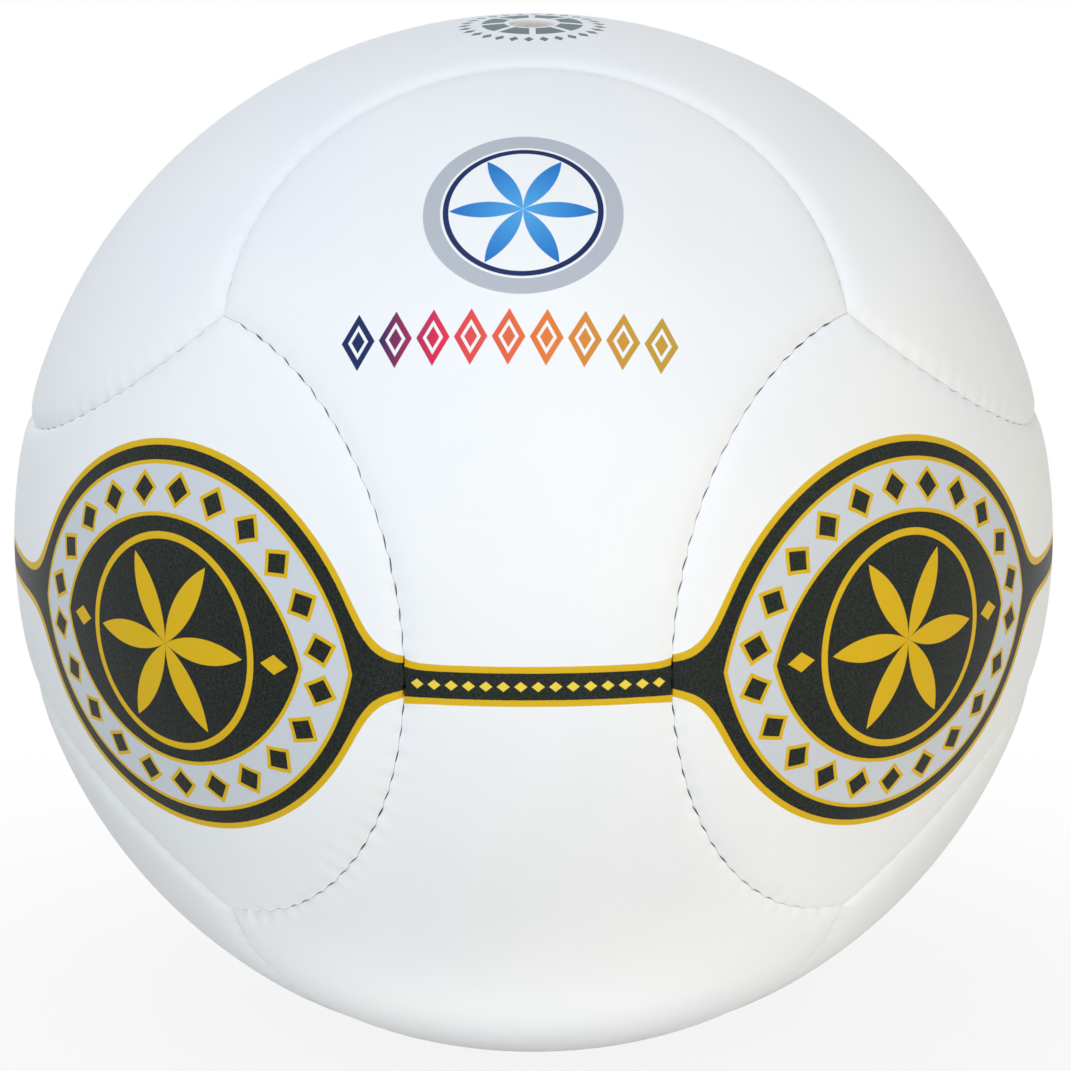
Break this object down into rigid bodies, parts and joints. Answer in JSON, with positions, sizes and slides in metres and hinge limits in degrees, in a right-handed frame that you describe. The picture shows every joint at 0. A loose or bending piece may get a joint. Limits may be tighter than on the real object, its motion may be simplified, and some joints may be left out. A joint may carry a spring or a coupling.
{
  "type": "fistball",
  "caption": "Round hand-sewn fistball: interlocking synthetic leather panels with rolled, stitched seams over an air bladder with a needle valve.",
  "frame": {"origin": "centre of the ball", "axes": "+Z out through the valve, -Y out through the middle of the front panel, +X to the right"},
  "size_m": [0.212, 0.212, 0.2119],
  "materials": {
    "skin": "smooth matte white synthetic leather with fine grain and printed bands",
    "lining": "raw cotton laminate",
    "thread": "waxed polyester thread",
    "latex": "satin natural latex",
    "patch": "matte rubber sheet",
    "housing": "moulded matte rubber",
    "core": "soft satin rubber"
  },
  "bodies": {
    "ball": {"panel_top": "skin", "panel_bottom": "skin", "panel_front": "skin", "panel_back": "skin", "panel_left": "skin", "panel_right": "skin", "lining_top": "lining", "lining_bottom": "lining", "lining_front": "lining", "lining_back": "lining", "lining_left": "lining", "lining_right": "lining", "seam_front_top": "thread", "seam_front_bottom": "thread", "seam_front_left": "thread", "seam_front_right": "thread", "seam_back_top": "thread", "seam_back_bottom": "thread", "seam_back_left": "thread", "seam_back_right": "thread", "seam_top_left": "thread", "seam_top_right": "thread", "seam_bottom_left": "thread", "seam_bottom_right": "thread", "bladder": "latex", "valve_patch": "patch", "balance_patch": "patch", "valve_housing": "housing"},
    "valve_plug": {"valve_core": "core"}
  },
  "joints": [
    {"name": "valve_core_pull", "type": "slide", "parent": "ball", "child": "valve_plug", "axis": [0, 0, 1], "range_m": [0, 0.022]}
  ]
}
